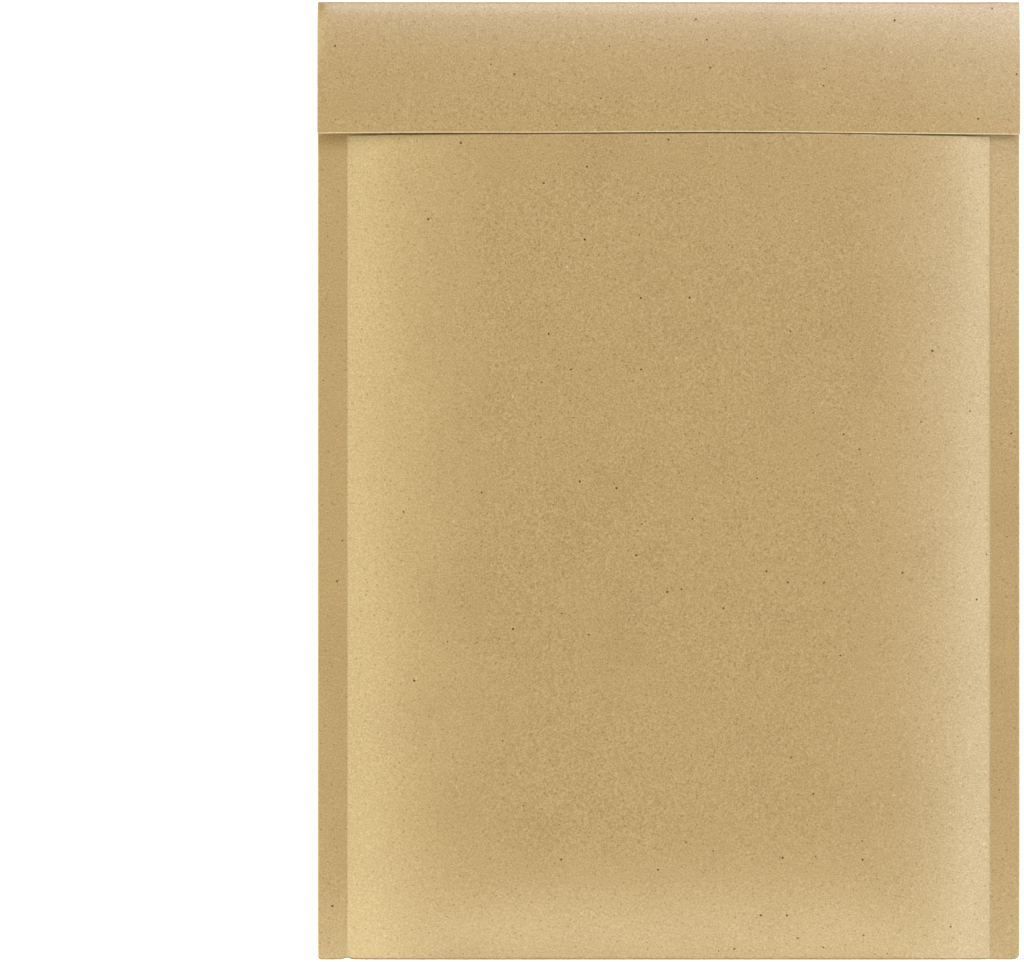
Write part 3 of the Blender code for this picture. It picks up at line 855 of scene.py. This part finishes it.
def build_camera(stage):
    """A long lens that looks straight down, with the mailer as far to the right as in the photograph."""
    pixel = 2 * HALF_WIDTH / MAILER_PIXELS
    data = bpy.data.cameras.new("camera")
    data.lens = stage.lens
    data.sensor_width = SENSOR_WIDTH / MM
    camera = bpy.data.objects.new("camera", data)
    distance = PHOTO_WIDTH * pixel * stage.lens * MM / SENSOR_WIDTH
    aside = (MAILER_MIDDLE_X - PHOTO_WIDTH / 2) * pixel
    camera.location = (-aside, 0, distance)
    data.clip_end = 3 * distance
    bpy.context.scene.collection.objects.link(camera)
    bpy.context.scene.camera = camera


class MAILER_OT_envelope(bpy.types.Operator):
    """Build the padded kraft envelope in place of its solid"""

    bl_idname = "mailer.envelope"
    bl_label = "Envelope"

    def execute(self, context):
        scene = context.scene
        # The second material is the real cut edge, and also the painted highlight on the outer face's rim
        materials = [kraft_paper(scene.mailer_paper), cut_edge_and_painted_rim(scene.mailer_paper)]
        build_envelope(scene.mailer_form, materials)
        return {"FINISHED"}


class MAILER_OT_lining(bpy.types.Operator):
    """Give the bubble film its material"""

    bl_idname = "mailer.lining"
    bl_label = "Bubble film"

    def execute(self, context):
        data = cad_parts["bubble_lining"].data
        data.materials.clear()
        data.materials.append(bubble_film(context.scene.mailer_closure))
        return {"FINISHED"}


class MAILER_OT_closure(bpy.types.Operator):
    """Build the adhesive strip and its release liner under the flap"""

    bl_idname = "mailer.closure"
    bl_label = "Adhesive and liner"

    def execute(self, context):
        form, look = context.scene.mailer_form, context.scene.mailer_closure
        strips = (
            ("hot_melt_strip", "adhesive_strip", "adhesive", look.adhesive_thickness, hot_melt),
            ("peel_off_liner", "release_liner", "liner_paper", look.liner_thickness, release_paper),
        )
        drop = look.play
        for name, node, slot, thickness, material in strips:
            build_strip(form, name, node, drop, thickness, material(look))
            drop += thickness + look.play
        return {"FINISHED"}


class MAILER_OT_stage(bpy.types.Operator):
    """Build the floor, the softboxes, the pale surroundings and the camera"""

    bl_idname = "mailer.stage"
    bl_label = "Stage"

    def execute(self, context):
        stage = context.scene.mailer_stage
        build_floor(stage)
        for side in ("right", "top", "left", "bottom"):
            softbox(side, stage)
        world = bpy.data.worlds.new("pale_surroundings")
        world.use_nodes = True
        around = world.node_tree.nodes["Background"]
        around.inputs["Color"].default_value = (1, 1, 1, 1)
        around.inputs["Strength"].default_value = stage.ambient
        context.scene.world = world
        context.scene.view_settings.view_transform = "Standard"
        build_camera(stage)
        return {"FINISHED"}


class MAILER_PT_panel(bpy.types.Panel):
    """The mailer's builders and sizes"""

    bl_idname = "MAILER_PT_panel"
    bl_label = "Kraft bubble mailer"
    bl_space_type = "VIEW_3D"
    bl_region_type = "UI"
    bl_category = "Mailer"

    def draw(self, context):
        layout = self.layout
        for operator in OPERATORS:
            layout.operator(operator.bl_idname)
        for name, group in GROUPS.items():
            box = layout.box()
            for field in group.__annotations__:
                box.prop(getattr(context.scene, name), field)


GROUPS = {
    "mailer_form": MAILER_PG_form,
    "mailer_paper": MAILER_PG_paper,
    "mailer_closure": MAILER_PG_closure,
    "mailer_stage": MAILER_PG_stage,
}
OPERATORS = MAILER_OT_envelope, MAILER_OT_lining, MAILER_OT_closure, MAILER_OT_stage
CLASSES = (*GROUPS.values(), *OPERATORS, MAILER_PT_panel)


def register():
    for item in CLASSES:
        bpy.utils.register_class(item)
    for name, group in GROUPS.items():
        setattr(bpy.types.Scene, name, PointerProperty(type=group))


def unregister():
    for name in GROUPS:
        delattr(bpy.types.Scene, name)
    for item in reversed(CLASSES):
        bpy.utils.unregister_class(item)


def main():
    register()
    bpy.ops.mailer.envelope()
    bpy.ops.mailer.lining()
    bpy.ops.mailer.closure()
    bpy.ops.mailer.stage()


if __name__ == "__main__":
    main()
